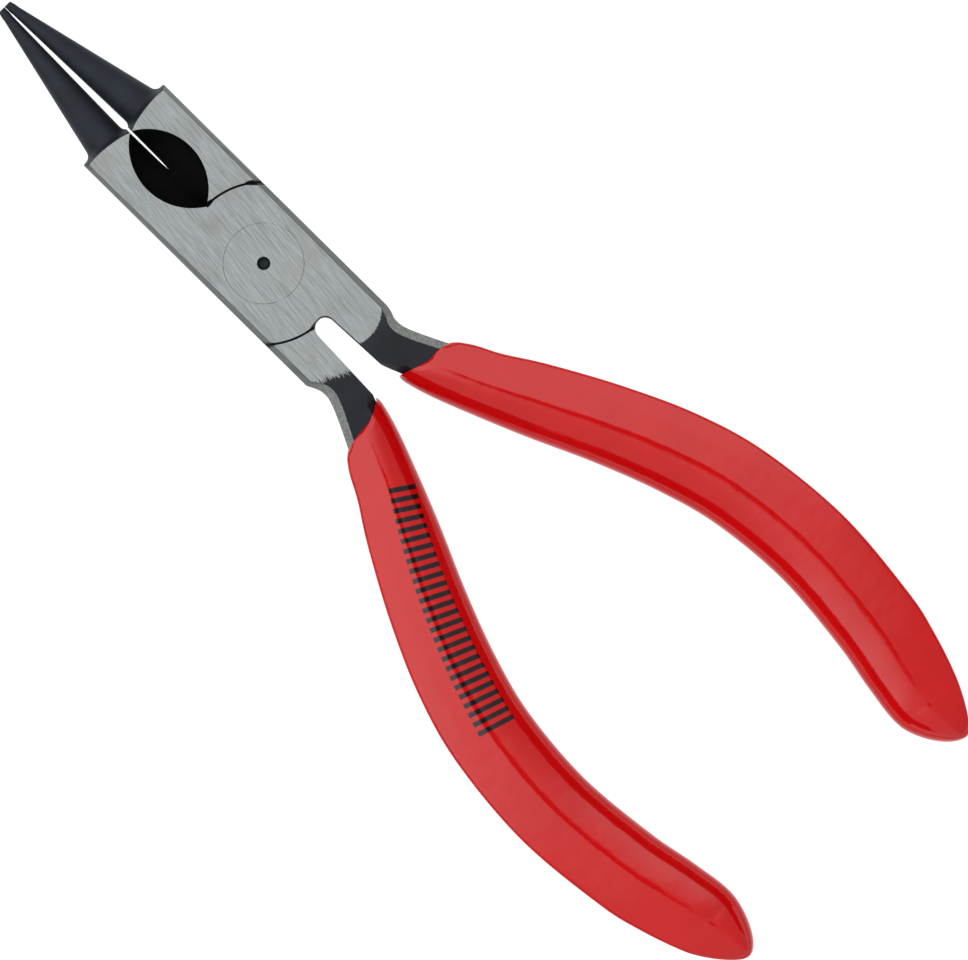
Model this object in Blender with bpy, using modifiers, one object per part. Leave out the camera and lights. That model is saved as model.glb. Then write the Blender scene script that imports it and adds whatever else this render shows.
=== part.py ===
"""Round nose pliers with side cutters in the joint and dipped grips.

Two forged steel halves lie face to face in a lap joint and turn on one flush
rivet. Both are made the same way, and the lower one is turned over about the
long axis. Each half is machined from one blank: its jaw is turned to a cone,
the lap joint and the cutter recesses are cut into it, and its handle runs on
as a tang inside a dipped grip.

Frame: the rivet's axis is X = Y = 0, +X points to the nose, +Y to the side of
the upper half's jaw, +Z up, and the joint's ground underside is Z = 0.
Sizes are in millimetres, and every mesh is scaled to metres as it is made.
"""

import math

import bmesh
import bpy
from mathutils import Matrix, Vector

MM = 0.001
THICK = 8.0                       # joint, from ground face to ground face
MID = THICK / 2

# Joint
BODY_HALF = 6.18                  # half the width of the joint
NOSE_TIP = 39.64                  # pivot to the ends of the jaws
NECK_START = -12.6                # where the joint's straight sides end
SHOULDER_X = 20.0                 # front of the joint's straight sides
CHAMFER_FRONT = 0.48              # forged bevel along the sides, seen from above, at the shoulder
CHAMFER_REAR = 0.68               # at the rear of the joint
CHAMFER_NECK = 0.98               # and on the neck
CHAMFER_DROP = 1.35
INNER_CHAMFER_START = 0.02        # the neck's inner edge starts almost sharp
DISC_R = 8.70                     # lap plate's round edge
POCKET_R = 8.95                   # pocket in the other half that the plate turns in
NOSE_SIDE_ARC = (-62, 0)          # stretches of the plate's edge, in degrees
HANDLE_SIDE_ARC = (118, 171)
CUTTER_OVERRUN = 3.0              # cutters reach this far past the steel
NOSE_CUTTER_REAR = 6.0
HANDLE_CUTTER_FRONT = -7.0
HANDLE_CUTTER_REAR = -20.4
LAP_GAP = 0.05                    # each lap face to the mid plane
SLOT_HALF = 1.15                  # slot between the two handle roots
SLOT_CENTRE = -9.68
SLOT_REAR = (-17.6, 1.47)
SLOT_SPREAD = 0.1                 # each side's extra room behind the slot
SLOT_SHIFT = 0.28                 # the slot lies this far towards the lower half's handle

# Rivet, countersunk and ground flush on both faces
RIVET_HEAD_R = 4.40
RIVET_SHANK_R = 3.0
RIVET_HEAD_DEPTH = 1.6
RIVET_PLAY = 0.05
RIVET_OVERRUN = 0.4               # the hole's cutter runs this far past both faces
DIMPLE_R = 0.73
DIMPLE_DEPTH = 0.6
# Share of the dimple's radius, share of its depth
DIMPLE_PROFILE = ((0.0, 1.0), (0.6, 0.86), (1.0, 0.0))

# Jaw cone and the turned shoulder behind it
TIP_RADIUS = 0.396
TIP_PAD = 0.03                    # the ends are a touch fuller, so that only they meet
TIP_PAD_LENGTH = 0.75
TIP_PAD_END = 1.2
JAW_GAP = 0.039                   # cone to the plane where the jaws meet, at the nose
CONE_TILT = math.radians(7.245)   # cone's axis to the long axis
CONE_HALF_ANGLE = math.radians(6.005)
CONE_LENGTH = 17.9
FILLET_R = 0.9
SHOULDER_START = (3.35, 18.80)    # radius, distance behind the tip
SHOULDER_END = (6.4, 20.6)
SHOULDER_BULGE = 0.44
CONE_CUTTER_REACH = 16.0
CONE_CUTTER_AHEAD = 2.0

# Cutter recess: a lens with a hollow bevel down to the cutting edges
RECESS_FRONT = 20.35
RECESS_REAR = 8.75
RECESS_UPPER_SAG = 3.20           # bulge over the upper half, seen from above
RECESS_LOWER_SAG = 3.46           # bulge over the lower half, seen from above
RECESS_FLOOR = 0.05               # half thickness of the cutting edge
EDGE_CLEARANCE = 0.012            # cutting edge to the plane where they meet
SLIT_REAR = 14.6                  # the edges touch behind here
SLIT_HALF = 0.13                  # and stand this far off the plane in front
RECESS_POINT_TRIM = 0.5           # the lens is this much shorter at the cutting edge
# Share of the way up from the cutting edge, share of the lens's width there
RECESS_LEVELS = ((0.0, 0.012), (0.24, 0.33), (0.5, 0.62), (0.75, 0.86), (1.0, 1.0), (1.12, 1.04))

# Handle and grip. Each station is a pair of points, (x, distance from the long
# axis), on the outer and the inner edge, then half the thickness there.
NECK_STATIONS = [
    ((-12.6, 6.18), (-12.6, 0.40), 4.00),
    ((-13.5, 5.80), (-13.8, 0.50), 4.00),
    ((-14.3, 5.53), (-15.0, 0.70), 3.95),
    ((-15.4, 5.56), (-16.2, 1.00), 3.82),
    ((-16.8, 6.05), (-17.5, 1.42), 3.60),
    ((-18.8, 6.97), (-18.9, 1.98), 3.25),
]
GRIP_STATIONS = [
    ((-20.9, 8.45), (-18.8, 1.45), 3.55),
    ((-22.7, 9.75), (-22.6, 2.45), 3.72),
    ((-25.3, 11.15), (-27.4, 4.22), 3.85),
    ((-29.7, 13.95), (-33.4, 6.65), 3.95),
    ((-37.1, 18.00), (-40.9, 9.95), 4.00),
    ((-45.0, 21.52), (-48.0, 12.62), 4.00),
    ((-53.1, 23.80), (-54.9, 14.43), 4.00),
    ((-64.0, 24.82), (-64.0, 15.22), 4.00),
    ((-74.7, 23.88), (-73.3, 14.43), 3.95),
    ((-79.8, 22.76), (-79.2, 13.38), 3.86),
    ((-84.9, 21.02), (-84.4, 12.84), 3.60),
]
GRIP_HEADING = ((-89.8, 18.70), (-89.6, 14.20), 2.90)   # the last station's sides point here
LEAN_UPPER = (0.22, -0.15)        # the upper handle's root is wider: outer and inner edge
LEAN_LOWER = (-0.05, 0.0)
LEAN_STATIONS = 4                 # grip stations over which that lean runs out
GRIP_END_UPPER = (-90.40, 17.3)   # the upper grip's end leans outwards
GRIP_END_LOWER = (-90.40, 16.3)   # and the lower one's inwards
END_PULL = 2.05                   # how far the sides run on before they turn in at the end
END_CORNER_UPPER = (0.9, 2.1)     # fullness of the end's outer and inner corners
END_CORNER_LOWER = (1.3, 1.7)
END_FULLNESS = 2.2                # higher is blunter, seen from the side
OUTER_FULLNESS = 0.4              # power of the section's outer side, 1 is an ellipse
MOUTH_RUN_OUT = 3.0               # the hollow's cutter runs this far out of the grip's mouth
GRIP_WALL = 1.0
GRIP_WALL_LIP = 0.45
FIT_GAP = 0.1                     # skin of air between the tang and its grip
TANG_STATIONS = 10                # the tang ends before the last grip stations
TANG_THICKNESS_INSET = 1.0
TANG_LIP_INSET = 0.5
TANG_CHAMFER = 1.1

# Facets
RINGS_PER_SPAN = 3
CAP_RINGS = 6
HEADING_STEP = 0.05               # back along the stations, to find which way a side points
GRIP_SIDES = 28
TURNED_SIDES = 64
CONE_SIDES = 48
ARC_STEPS = 28
SLOT_STEPS = 8
FILLET_STEPS = 6
RECESS_STEPS = 14
SMOOTH_BELOW = math.radians(30)   # facets that meet at less than this are shaded as one


# ---------------------------------------------------------------- helpers

def clear_scene():
    for obj in list(bpy.data.objects):
        bpy.data.objects.remove(obj, do_unlink=True)


def make_collection(name):
    collection = bpy.data.collections.new(name)
    bpy.context.scene.collection.children.link(collection)
    return collection


def make_material(name, color, roughness, metallic):
    material = bpy.data.materials.new(name)
    material.use_nodes = True
    shader = material.node_tree.nodes["Principled BSDF"]
    shader.inputs["Base Color"].default_value = (*color, 1.0)
    shader.inputs["Roughness"].default_value = roughness
    shader.inputs["Metallic"].default_value = metallic
    return material


def add_object(name, bm, collection):
    """Scale a mesh from millimetres to metres and link it as an object."""
    bmesh.ops.transform(bm, matrix=Matrix.Scale(MM, 4), verts=bm.verts)
    bmesh.ops.recalc_face_normals(bm, faces=bm.faces)
    mesh = bpy.data.meshes.new(name)
    bm.to_mesh(mesh)
    bm.free()
    obj = bpy.data.objects.new(name, mesh)
    collection.objects.link(obj)
    return obj


def make_cutter(name, bm, cutters):
    obj = add_object(name, bm, cutters)
    obj.hide_render = True
    obj.display_type = "WIRE"
    return obj


def cut(obj, *tools):
    """Take each tool away from an object with an exact Boolean."""
    for tool in tools:
        modifier = obj.modifiers.new("cut_" + tool.name, "BOOLEAN")
        modifier.operation = "DIFFERENCE"
        modifier.solver = "EXACT"
        modifier.object = tool


def bake(obj):
    """Keep the object's shape after its modifiers as its own mesh."""
    bpy.context.view_layer.update()
    depsgraph = bpy.context.evaluated_depsgraph_get()
    mesh = bpy.data.meshes.new_from_object(obj.evaluated_get(depsgraph))
    obj.modifiers.clear()
    obj.data = mesh


def smooth(obj):
    """Shade the curved faces smooth and leave the edges between faces sharp."""
    obj.data.shade_smooth()
    obj.data.set_sharp_from_angle(angle=SMOOTH_BELOW)


def arc(centre, radius, start, end, steps):
    """Points on an arc, angles in degrees, both ends included."""
    points = []
    for step in range(steps + 1):
        angle = math.radians(start + (end - start) * step / steps)
        points.append((centre[0] + radius * math.cos(angle), centre[1] + radius * math.sin(angle)))
    return points


def bulge_arc(start, end, sag, steps):
    """Points on the arc from start to end that stands sag to the right of its chord."""
    start, end = Vector(start), Vector(end)
    half = (end - start) / 2
    side = Vector((half.y, -half.x)).normalized()
    radius = (half.length ** 2 + sag ** 2) / (2 * sag)
    centre = start + half - side * (radius - sag)
    half_angle = math.asin(min(1.0, half.length / radius))
    points = []
    for step in range(steps + 1):
        angle = -half_angle + 2 * half_angle * step / steps
        along = half.normalized() * math.sin(angle)
        points.append(tuple(centre + (along + side * math.cos(angle)) * radius))
    return points


def catmull_rom(values, position):
    """Smooth curve through equally spaced control values, each a Vector."""
    last = len(values) - 1
    index = min(int(position), last - 1)
    t = position - index
    p1, p2 = values[index], values[index + 1]
    p0 = values[index - 1] if index else p1 * 2 - p2
    p3 = values[index + 2] if index + 2 <= last else p2 * 2 - p1
    return 0.5 * (2 * p1 + (p2 - p0) * t + (2 * p0 - 5 * p1 + 4 * p2 - p3) * t ** 2
                  + (3 * p1 - p0 - 3 * p2 + p3) * t ** 3)


def loft(rings):
    """Skin a row of equal rings of points and close both ends."""
    bm = bmesh.new()
    rows = [[bm.verts.new(point) for point in ring] for ring in rings]
    count = len(rows[0])
    for row, following in zip(rows, rows[1:]):
        for k in range(count):
            bm.faces.new((row[k], row[(k + 1) % count], following[(k + 1) % count], following[k]))
    bm.faces.new(reversed(rows[0]))
    bm.faces.new(rows[-1])
    return bm


def plate(name, outline, low, high, cutters):
    """A flat outline as a filled 2D curve, extruded from low to high, as a mesh."""
    curve = bpy.data.curves.new(name, "CURVE")
    curve.dimensions = "2D"
    curve.fill_mode = "BOTH"
    curve.extrude = (high - low) / 2 * MM
    spline = curve.splines.new("POLY")
    spline.points.add(len(outline) - 1)
    for point, (x, y) in zip(spline.points, outline):
        point.co = (x * MM, y * MM, 0.0, 1.0)
    spline.use_cyclic_u = True
    source = bpy.data.objects.new(name + "_outline", curve)
    source.location.z = (low + high) / 2 * MM
    cutters.objects.link(source)
    bpy.context.view_layer.update()
    depsgraph = bpy.context.evaluated_depsgraph_get()
    mesh = bpy.data.meshes.new_from_object(source.evaluated_get(depsgraph))
    bm = bmesh.new()
    bm.from_mesh(mesh)
    bmesh.ops.remove_doubles(bm, verts=bm.verts, dist=1e-7)
    bmesh.ops.recalc_face_normals(bm, faces=bm.faces)
    bm.to_mesh(mesh)
    bm.free()
    obj = bpy.data.objects.new(name, mesh)
    obj.matrix_world = source.matrix_world
    obj.hide_render = True
    obj.display_type = "WIRE"
    cutters.objects.link(obj)
    bpy.data.objects.remove(source, do_unlink=True)
    return obj


def turned(name, profile, closed, sides, collection):
    """Turn a profile of (radius, height) points about Z with a Screw modifier."""
    bm = bmesh.new()
    verts = [bm.verts.new((radius * MM, 0.0, height * MM)) for radius, height in profile]
    for first, second in zip(verts, verts[1:]):
        bm.edges.new((first, second))
    if closed:
        bm.edges.new((verts[-1], verts[0]))
    mesh = bpy.data.meshes.new(name)
    bm.to_mesh(mesh)
    bm.free()
    obj = bpy.data.objects.new(name, mesh)
    collection.objects.link(obj)
    screw = obj.modifiers.new("turn", "SCREW")
    screw.axis = "Z"
    screw.steps = sides
    screw.render_steps = sides
    screw.use_merge_vertices = True
    screw.merge_threshold = 1e-6
    return obj


# ---------------------------------------------------------------- handle sections

def handle_station(stations, position, side):
    """Outer edge, inner edge and half thickness at a place along a row of stations."""
    outer = catmull_rom([Vector(outer) for outer, inner, half in stations], position)
    inner = catmull_rom([Vector(inner) for outer, inner, half in stations], position)
    half = catmull_rom([Vector((half, 0)) for outer, inner, half in stations], position)[0]
    return Vector((outer.x, side * outer.y)), Vector((inner.x, side * inner.y)), half


def station_positions(count):
    total = (count - 1) * RINGS_PER_SPAN
    return [step / RINGS_PER_SPAN for step in range(total + 1)]


def bar_ring(outer, inner, half, outer_chamfer, inner_chamfer, drop):
    """An eight-cornered forged section standing over the line from outer to inner."""
    across = (inner - outer).normalized()
    ring = []
    for base, shift, height in (
            (outer, outer_chamfer, half), (outer, 0.0, half - drop),
            (outer, 0.0, drop - half), (outer, outer_chamfer, -half),
            (inner, -inner_chamfer, -half), (inner, 0.0, drop - half),
            (inner, 0.0, half - drop), (inner, -inner_chamfer, half)):
        point = base + across * shift
        ring.append((point.x, point.y, MID + height))
    return ring


def tang_stations():
    """The steel inside the grip: the grip's stations, set in by its wall."""
    stations = []
    for index, (outer, inner, half) in enumerate(GRIP_STATIONS[:TANG_STATIONS]):
        share = min(1.0, index / 2)
        wall = GRIP_WALL_LIP + (GRIP_WALL - GRIP_WALL_LIP) * share + FIT_GAP
        inset = TANG_LIP_INSET + (TANG_THICKNESS_INSET - TANG_LIP_INSET) * share
        outer, inner = Vector(outer), Vector(inner)
        across = (inner - outer).normalized()
        stations.append((tuple(outer + across * wall), tuple(inner - across * wall), half - inset))
    return stations


def lean(stations, shift):
    """Move the foremost stations' two edges sideways, less and less towards the rear."""
    leaning = []
    for index, (outer, inner, half) in enumerate(stations):
        share = max(0.0, 1 - index / LEAN_STATIONS)
        outer = (outer[0], outer[1] + shift[0] * share)
        inner = (inner[0], inner[1] + shift[1] * share)
        leaning.append((outer, inner, half))
    return leaning


def tang_rings(swell, shift):
    """Rings of the tang, swollen by a gap for the hollow in the grip."""
    rings = []
    stations = lean(tang_stations(), shift)
    for position in station_positions(len(stations)):
        outer, inner, half = handle_station(stations, position, -1)
        across = (inner - outer).normalized() * swell
        rings.append(bar_ring(outer - across, inner + across, half + swell,
                              TANG_CHAMFER, TANG_CHAMFER, TANG_CHAMFER))
    return rings


def neck_rings(shift):
    rings = []
    last = len(NECK_STATIONS) - 1
    stations = [NECK_STATIONS[0]]
    for (outer_x, outer_y), inner, half in NECK_STATIONS[1:]:
        stations.append(((outer_x, outer_y + shift[0]), inner, half))
    for position in station_positions(len(stations)):
        outer, inner, half = handle_station(stations, position, -1)
        outer_chamfer = CHAMFER_REAR + (CHAMFER_NECK - CHAMFER_REAR) * min(1.0, position / 2)
        inner_chamfer = max(INNER_CHAMFER_START, TANG_CHAMFER * (position / last) ** 3)
        rings.append(bar_ring(outer, inner, half, outer_chamfer, inner_chamfer, CHAMFER_DROP))
    return rings


# ---------------------------------------------------------------- steel half

def half_blank(name, shift, collection):
    """The forged blank: a bevelled bar from the nose to the neck, then the handle."""
    rings = []
    slope = (CHAMFER_REAR - CHAMFER_FRONT) / (SHOULDER_X - NECK_START)
    for x in (NOSE_TIP, NECK_START + 0.05):
        outer, inner = Vector((x, -BODY_HALF)), Vector((x, BODY_HALF))
        chamfer = CHAMFER_FRONT + slope * (SHOULDER_X - x)
        rings.append(bar_ring(outer, inner, MID, chamfer, chamfer, CHAMFER_DROP))
    rings += neck_rings(shift)
    rings += tang_rings(0.0, shift)[1:]
    return add_object(name, loft(rings), collection)


def nose_side_cutter(cutters):
    """Clears the room of the other half's jaw, in front of the lap plate's edge."""
    far = NOSE_TIP + CUTTER_OVERRUN
    beside = -BODY_HALF - CUTTER_OVERRUN
    outline = arc((0, 0), DISC_R, *NOSE_SIDE_ARC, ARC_STEPS)
    outline[-1] = (math.sqrt(DISC_R ** 2 - EDGE_CLEARANCE ** 2), EDGE_CLEARANCE)
    outline += [(SLIT_REAR, EDGE_CLEARANCE), (RECESS_FRONT, SLIT_HALF),
                (far, EDGE_CLEARANCE / 2), (far, beside), (NOSE_CUTTER_REAR, beside)]
    return plate("nose_side_cutter", outline, -1, THICK + 1, cutters)


def handle_side_cutter(slot_y, cutters):
    """Clears the room of the other half's handle root, and the slot between the two."""
    slot_side = slot_y - SLOT_REAR[1]
    beside = BODY_HALF + CUTTER_OVERRUN
    outline = arc((0, 0), DISC_R, *HANDLE_SIDE_ARC, ARC_STEPS)
    outline += arc((SLOT_CENTRE, slot_y), SLOT_HALF, 0, -90, SLOT_STEPS)
    outline += [(SLOT_REAR[0], slot_side), (HANDLE_CUTTER_REAR, slot_side - SLOT_SPREAD),
                (HANDLE_CUTTER_REAR, beside), (HANDLE_CUTTER_FRONT, beside)]
    return plate("handle_side_cutter", outline, -1, THICK + 1, cutters)


def pocket_cutter(cutters):
    """The round pocket in the lower face that the other half's lap plate turns in."""
    outline = arc((0, 0), POCKET_R, 0, 360, 4 * ARC_STEPS)[:-1]
    return plate("pocket_cutter", outline, -1, MID + LAP_GAP, cutters)


def rivet_profile(grow, overshoot):
    """Outer side of the rivet from the upper head to the lower, as (radius, height)."""
    slope = (RIVET_HEAD_R - RIVET_SHANK_R) / RIVET_HEAD_DEPTH
    rim = RIVET_HEAD_R + grow + slope * overshoot
    return [(rim, THICK + overshoot), (RIVET_SHANK_R + grow, THICK - RIVET_HEAD_DEPTH),
            (RIVET_SHANK_R + grow, RIVET_HEAD_DEPTH), (rim, -overshoot)]


def rivet_hole_cutter(cutters):
    profile = [(0, THICK + RIVET_OVERRUN)]
    profile += rivet_profile(RIVET_PLAY, RIVET_OVERRUN)
    profile += [(0, -RIVET_OVERRUN)]
    return turned_cutter("rivet_hole_cutter", profile, TURNED_SIDES, cutters)


def turned_cutter(name, profile, sides, cutters, closed=False):
    obj = turned(name, profile, closed, sides, cutters)
    obj.hide_render = True
    obj.display_type = "WIRE"
    return obj


def jaw_cutter(cutters):
    """Everything outside the turned cone and its shoulder, about the cone's axis."""
    slope = math.tan(CONE_HALF_ANGLE)
    half_degrees = math.degrees(CONE_HALF_ANGLE)
    root = TIP_RADIUS + slope * CONE_LENGTH
    # Points are (radius, distance behind the nose). The fillet turns from along the cone to straight out.
    centre = (root + FILLET_R * math.cos(CONE_HALF_ANGLE),
              CONE_LENGTH - FILLET_R * math.sin(CONE_HALF_ANGLE))
    fillet = arc(centre, FILLET_R, 180 - half_degrees, 90, FILLET_STEPS)
    shoulder = bulge_arc(SHOULDER_START, SHOULDER_END, SHOULDER_BULGE, FILLET_STEPS)
    pad = [(TIP_RADIUS + TIP_PAD, 0.0),
           (TIP_RADIUS + slope * TIP_PAD_END, TIP_PAD_LENGTH),
           (TIP_RADIUS + slope * TIP_PAD_END, TIP_PAD_END)]
    start = (TIP_RADIUS + TIP_PAD - slope * CONE_CUTTER_AHEAD, -CONE_CUTTER_AHEAD)
    inner = [start] + pad + fillet + shoulder
    outer = [(CONE_CUTTER_REACH, -CONE_CUTTER_AHEAD), (CONE_CUTTER_REACH, SHOULDER_END[1])]
    obj = turned_cutter("jaw_cutter", [(radius, -distance) for radius, distance in outer + inner[::-1]],
                        CONE_SIDES, cutters, closed=True)
    tip_y = JAW_GAP + TIP_RADIUS / math.cos(CONE_HALF_ANGLE)
    axis = Vector((math.cos(CONE_TILT), -math.sin(CONE_TILT), 0.0))
    obj.rotation_mode = "QUATERNION"
    obj.rotation_quaternion = axis.to_track_quat("Z", "Y")
    obj.location = Vector((NOSE_TIP, tip_y, MID)) * MM
    return obj


def recess_cutter(name, sag_handle_side, sag_jaw_side, low, high, cutters):
    """A lens-shaped hollow from a ground face down to the cutting edge."""
    rings = []
    for rise, share in RECESS_LEVELS:
        trim = RECESS_POINT_TRIM * (1 - min(1.0, rise * 2))
        front, rear = (RECESS_FRONT - trim, 0), (RECESS_REAR + trim, 0)
        ring = bulge_arc(rear, front, sag_handle_side * share, RECESS_STEPS)[:-1]
        ring += bulge_arc(front, rear, sag_jaw_side * share, RECESS_STEPS)[:-1]
        rings.append([(x, y, low + (high - low) * rise) for x, y in ring])
    return make_cutter(name, loft(rings), cutters)


def make_half(name, slot_y, shift, tools, material, parts, cutters):
    obj = half_blank(name, shift, parts)
    obj.data.materials.append(material)
    cut(obj, handle_side_cutter(slot_y, cutters), *tools)
    bake(obj)
    smooth(obj)
    return obj


def half_tools(cutters):
    """The cutters that both halves share."""
    return [
        nose_side_cutter(cutters),
        pocket_cutter(cutters),
        jaw_cutter(cutters),
        recess_cutter("upper_recess_cutter", RECESS_LOWER_SAG, RECESS_UPPER_SAG,
                      MID + RECESS_FLOOR, THICK, cutters),
        recess_cutter("lower_recess_cutter", RECESS_UPPER_SAG, RECESS_LOWER_SAG,
                      MID - RECESS_FLOOR, 0.0, cutters),
        rivet_hole_cutter(cutters),
    ]


# ---------------------------------------------------------------- rivet

def make_rivet(material, parts):
    dimple = [(DIMPLE_R * radius, THICK - DIMPLE_DEPTH * depth) for radius, depth in DIMPLE_PROFILE]
    profile = dimple + rivet_profile(0.0, 0.0) + [(0, 0)]
    obj = turned("pivot_rivet", profile, False, TURNED_SIDES, parts)
    obj.data.materials.append(material)
    return obj


# ---------------------------------------------------------------- grip

def grip_ring(outer, inner, half):
    """A section with a full outer side and a round inner side."""
    centre = (outer + inner) / 2
    reach = (outer - inner) / 2
    ring = []
    for k in range(GRIP_SIDES):
        angle = 2 * math.pi * k / GRIP_SIDES
        across, up = math.cos(angle), math.sin(angle)
        if across > 0:
            across = across ** OUTER_FULLNESS
            up = math.copysign(abs(up) ** OUTER_FULLNESS, up)
        ring.append((centre.x + reach.x * across, centre.y + reach.y * across, MID + half * up))
    return ring


def bezier(points, t):
    """A point on a cubic curve with four control points."""
    p0, p1, p2, p3 = (Vector(point) for point in points)
    s = 1 - t
    return s ** 3 * p0 + 3 * s * s * t * p1 + 3 * s * t * t * p2 + t ** 3 * p3


def grip_end_rings(stations, end, corners):
    """Both sides run on from the last station and meet at the blunt end."""
    last = len(stations) - 2
    outer, inner, half = handle_station(stations, last, -1)
    outer_back, inner_back, half_back = handle_station(stations, last - HEADING_STEP, -1)
    tip = Vector((end[0], -end[1]))
    sides = []
    for start, back, corner in ((outer, outer_back, -corners[0]), (inner, inner_back, corners[1])):
        pull = start + (start - back).normalized() * END_PULL
        sides.append((start, pull, tip + Vector((0, corner)), tip))
    rings = []
    for step in range(1, CAP_RINGS + 1):
        t = math.sin(math.pi / 2 * step / (CAP_RINGS + 1))
        thickness = half * (1 - t ** END_FULLNESS) ** 0.5
        rings.append(grip_ring(bezier(sides[0], t), bezier(sides[1], t), thickness))
    return rings


def grip_rings(end, corners, shift):
    """Rings of the grip's outside from the mouth to the end."""
    stations = lean(GRIP_STATIONS, shift) + [GRIP_HEADING]
    rings = []
    for position in station_positions(len(GRIP_STATIONS)):
        rings.append(grip_ring(*handle_station(stations, position, -1)))
    return rings + grip_end_rings(stations, end, corners)


def grip_hollow(shift, cutters):
    """The hollow round the tang, run out through the grip's mouth."""
    rings = tang_rings(FIT_GAP, shift)
    first = [Vector(point) for point in rings[0]]
    second = [Vector(point) for point in rings[1]]
    mouth = [tuple(a + (a - b).normalized() * MOUTH_RUN_OUT) for a, b in zip(first, second)]
    return make_cutter("grip_hollow", loft([mouth] + rings), cutters)


def make_grip(name, end, corners, shift, material, parts, cutters):
    obj = add_object(name, loft(grip_rings(end, corners, shift)), parts)
    obj.data.materials.append(material)
    cut(obj, grip_hollow(shift, cutters))
    bake(obj)
    smooth(obj)
    return obj


# ---------------------------------------------------------------- assembly

def turn_over(obj):
    """Turn an object over about the pliers' long axis at mid thickness."""
    obj.rotation_euler.x = math.pi
    obj.location.z = THICK * MM


def main():
    clear_scene()
    parts = make_collection("round_nose_pliers")
    cutters = make_collection("cutters")
    steel = make_material("ground_steel", (0.42, 0.43, 0.42), 0.35, 1.0)
    rivet_steel = make_material("rivet_steel", (0.45, 0.45, 0.45), 0.3, 1.0)
    vinyl = make_material("dipped_vinyl", (0.6, 0.02, 0.02), 0.15, 0.0)

    tools = half_tools(cutters)
    make_half("half_a", SLOT_SHIFT, LEAN_UPPER, tools, steel, parts, cutters)
    turn_over(make_half("half_b", -SLOT_SHIFT, LEAN_LOWER, tools, steel, parts, cutters))
    make_rivet(rivet_steel, parts)
    make_grip("grip_a", GRIP_END_UPPER, END_CORNER_UPPER, LEAN_UPPER, vinyl, parts, cutters)
    turn_over(make_grip("grip_b", GRIP_END_LOWER, END_CORNER_LOWER, LEAN_LOWER, vinyl, parts, cutters))


main()
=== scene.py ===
"""Looks for the round nose pliers: fine meshes, finishes, studio light and camera.

Every piece is built again as a fine mesh in the place of its coarse solid. The
steel halves are machined from a blank as the real ones are, and each cutter
leaves its own finish on the faces it makes. Sizes are in millimetres, in the
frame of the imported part: the pivot is X = Y = 0 and +X points to the nose.
"""

import math

import bmesh
import bpy
from mathutils import Matrix, Vector


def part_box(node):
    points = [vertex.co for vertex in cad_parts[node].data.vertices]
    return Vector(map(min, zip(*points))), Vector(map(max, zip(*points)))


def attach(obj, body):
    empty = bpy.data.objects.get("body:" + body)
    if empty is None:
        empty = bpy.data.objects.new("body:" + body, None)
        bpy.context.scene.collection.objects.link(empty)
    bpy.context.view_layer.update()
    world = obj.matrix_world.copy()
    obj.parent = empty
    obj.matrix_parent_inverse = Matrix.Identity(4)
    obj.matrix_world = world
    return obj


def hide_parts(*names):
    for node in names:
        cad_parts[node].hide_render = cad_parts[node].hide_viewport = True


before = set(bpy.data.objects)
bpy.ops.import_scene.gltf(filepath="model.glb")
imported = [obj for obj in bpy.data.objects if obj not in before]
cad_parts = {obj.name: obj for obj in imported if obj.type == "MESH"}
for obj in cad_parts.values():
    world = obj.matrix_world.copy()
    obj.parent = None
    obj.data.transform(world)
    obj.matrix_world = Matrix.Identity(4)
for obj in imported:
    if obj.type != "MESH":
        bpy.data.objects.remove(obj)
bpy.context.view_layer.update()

MM = 0.001
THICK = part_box("pivot_rivet")[1].z / MM
MID = THICK / 2
NOSE_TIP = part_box("half_a")[1].x / MM
RIVET_HEAD_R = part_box("pivot_rivet")[1].x / MM
GRIP_END_UPPER = (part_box("grip_a")[0].x / MM, 17.3)
GRIP_END_LOWER = (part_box("grip_b")[0].x / MM, 16.3)

# Joint
BODY_HALF = 6.18
NECK_START = -12.6
CHAMFER_FRONT = 0.48              # bevel along the sides, wider towards the handles
CHAMFER_REAR = 0.68
CHAMFER_NECK = 0.98
CHAMFER_DROP = 1.35
NECK_INNER_CHAMFER = 0.02         # the slot's side starts almost sharp
DISC_R = 8.70
POCKET_R = 8.95
LAP_GAP = 0.05
SLOT_HALF = 1.15
SLOT_CENTRE = -9.68
SLOT_REAR = (-17.6, 1.47)
SLOT_SHIFT = 0.28
SLOT_CHAMFER = 0.13               # its edge is broken on the ground face
SLOT_FLARE = 0.1                  # the slot goes on opening to the rear of its cutter
LAP_FRONT = (-62, 0)              # degrees of the lap plate's edge in front of the pivot
LAP_REAR = (118, 171)
BLOCK_OVERRUN = 3.0               # cutters reach this far past the steel
LEVEL_OVERRUN = 1.0               # and this far past its flat faces
NOSE_BLOCK_REAR = 6.0
HANDLE_BLOCK_FRONT = -7.0
HANDLE_BLOCK_REAR = -20.4

# Rivet
RIVET_SHANK_R = 3.0
RIVET_HEAD_DEPTH = 1.6
RIVET_PLAY = 0.012                # the seam round the head is a hairline
RIVET_HOLE_OVERSHOOT = 0.4
DIMPLE_R = 0.73
DIMPLE_DEPTH = 0.6
DIMPLE_PROFILE = ((0.0, 1.0), (0.6, 0.86), (0.92, 0.4), (1.0, 0.0))    # shares of radius and depth

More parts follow.
